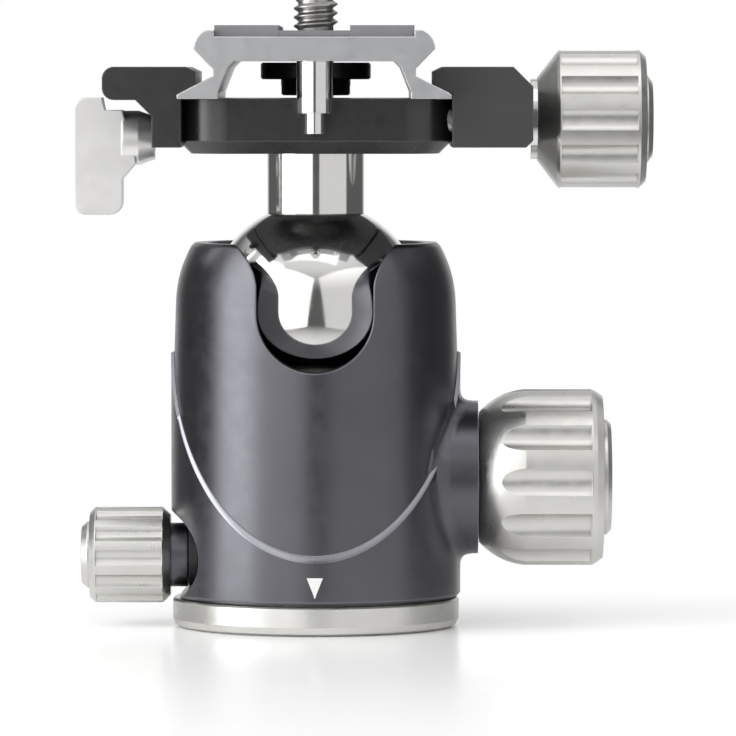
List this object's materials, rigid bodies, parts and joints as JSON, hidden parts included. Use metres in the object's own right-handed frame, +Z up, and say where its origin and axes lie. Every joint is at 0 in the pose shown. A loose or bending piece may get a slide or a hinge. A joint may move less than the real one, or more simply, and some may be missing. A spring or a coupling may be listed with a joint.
{
  "type": "tripod ball head",
  "caption": "Camera ball head: round panning base, slotted casing with a polished ball, side lock knobs and a screw clamp holding a dovetail quick-release plate.",
  "frame": {"origin": "centre of the base's flat underside, on the axis of its tripod thread", "axes": "+Z up along the casing; the drop notch faces -Y; the main lock knob faces +X and the pan lock knob -X"},
  "size_m": [0.0829, 0.052, 0.091],
  "materials": {
    "anodised_grey": "dark grey satin anodised",
    "anodised_black": "black satin anodised",
    "satin_silver": "satin silver anodised, turned",
    "plate_silver": "bead-blasted silver anodised",
    "polished_steel": "mirror polished",
    "steel": "plain machined",
    "black_steel": "black oxide",
    "brass": "machined",
    "nylon": "moulded, low friction",
    "rubber": "moulded pad"
  },
  "bodies": {
    "base": {"base_plate": "satin_silver", "thread_insert": "steel", "pan_thrust_washer": "nylon", "pan_retainer": "steel", "retainer_screws": "black_steel"},
    "housing": {"casing": "anodised_grey", "casing_floor": "satin_silver", "wedge_guide": "steel", "seat_ring": "nylon"},
    "pan_shoe_slider": {"pan_shoe": "brass"},
    "pan_knob_turner": {"pan_lock_screw": "steel", "pan_knob_collar": "anodised_grey", "pan_knob": "satin_silver", "pan_knob_cap": "satin_silver"},
    "wedge_slider": {"wedge": "brass"},
    "main_knob_turner": {"main_screw": "steel", "main_knob": "satin_silver"},
    "dial_turner": {"friction_dial": "satin_silver", "friction_screw": "steel"},
    "cup_slider": {"ball_cup": "satin_silver", "cup_liner": "nylon"},
    "ball_leaner": {"ball": "polished_steel"},
    "stem_tilter": {"stem": "polished_steel"},
    "head": {"stem_bolt": "black_steel", "clamp_base": "anodised_black", "guide_pins": "steel"},
    "jaw_slider": {"clamp_jaw": "anodised_black"},
    "clamp_knob_turner": {"clamp_screw": "steel", "clamp_knob_washer": "polished_steel", "clamp_knob": "satin_silver", "clamp_knob_cap": "satin_silver"},
    "lever_turner": {"safety_lever": "satin_silver", "lever_pivot": "steel"},
    "catch_slider": {"catch_pin": "steel"},
    "plate_slider": {"quick_release_plate": "plate_silver", "plate_pads": "rubber", "stop_screws": "polished_steel"},
    "camera_screw_turner": {"camera_screw": "black_steel", "camera_screw_clip": "steel"}
  },
  "joints": [
    {"name": "pan_rotation", "type": "hinge", "parent": "base", "child": "housing", "pos_m": [0, 0, 0.0102], "axis": [0, 0, 1], "continuous": true},
    {"name": "pan_shoe_slide", "type": "slide", "parent": "housing", "child": "pan_shoe_slider", "axis": [-1, 0, 0], "range_m": [0, 0.0008]},
    {"name": "pan_lock_turn", "type": "hinge", "parent": "pan_shoe_slider", "child": "pan_knob_turner", "pos_m": [-0.026, 0, 0.0102], "axis": [-1, 0, 0], "range_deg": [0, 360]},
    {"name": "wedge_slide", "type": "slide", "parent": "housing", "child": "wedge_slider", "axis": [1, 0, 0], "range_m": [0, 0.0009375]},
    {"name": "main_lock_turn", "type": "hinge", "parent": "wedge_slider", "child": "main_knob_turner", "pos_m": [0.03, 0, 0.0214], "axis": [1, 0, 0], "range_deg": [0, 270]},
    {"name": "friction_dial_turn", "type": "hinge", "parent": "main_knob_turner", "child": "dial_turner", "pos_m": [0.04, 0, 0.0214], "axis": [1, 0, 0], "range_deg": [0, 300]},
    {"name": "cup_slide", "type": "slide", "parent": "housing", "child": "cup_slider", "axis": [0, 0, 1], "range_m": [-0.0003, 0.00001]},
    {"name": "ball_lean", "type": "hinge", "parent": "housing", "child": "ball_leaner", "pos_m": [0, 0, 0.0455], "axis": [0, 1, 0], "range_deg": [-25, 25]},
    {"name": "ball_tilt", "type": "hinge", "parent": "ball_leaner", "child": "stem_tilter", "pos_m": [0, 0, 0.0455], "axis": [1, 0, 0], "range_deg": [-25, 90]},
    {"name": "ball_swivel", "type": "hinge", "parent": "stem_tilter", "child": "head", "pos_m": [0, 0, 0.0455], "axis": [0, 0, 1], "continuous": true},
    {"name": "jaw_slide", "type": "slide", "parent": "head", "child": "jaw_slider", "axis": [1, 0, 0], "range_m": [0, 0.004]},
    {"name": "clamp_knob_turn", "type": "hinge", "parent": "jaw_slider", "child": "clamp_knob_turner", "pos_m": [0.04, 0, 0.0729], "axis": [1, 0, 0], "range_deg": [0, 1440]},
    {"name": "safety_lever_turn", "type": "hinge", "parent": "head", "child": "lever_turner", "pos_m": [-0.025, 0, 0.0702], "axis": [1, 0, 0], "range_deg": [0, 90]},
    {"name": "catch_pin_slide", "type": "slide", "parent": "head", "child": "catch_slider", "axis": [0, 0, 1], "range_m": [-0.0012, 0]},
    {"name": "plate_slide", "type": "slide", "parent": "head", "child": "plate_slider", "axis": [0, 1, 0], "range_m": [-0.002, 0.002]},
    {"name": "camera_screw_turn", "type": "hinge", "parent": "plate_slider", "child": "camera_screw_turner", "pos_m": [0, 0, 0.0846], "axis": [0, 0, 1], "continuous": true}
  ],
  "couplings": [
    {"joint": "pan_lock_turn", "follows": "pan_shoe_slide", "rad_per_m": 7854},
    {"joint": "main_lock_turn", "follows": "wedge_slide", "rad_per_m": 5026.5},
    {"joint": "cup_slide", "follows": "wedge_slide", "ratio": -0.2},
    {"joint": "clamp_knob_turn", "follows": "jaw_slide", "rad_per_m": 6283.2},
    {"joint": "safety_lever_turn", "follows": "catch_pin_slide", "rad_per_m": -1310.6}
  ]
}
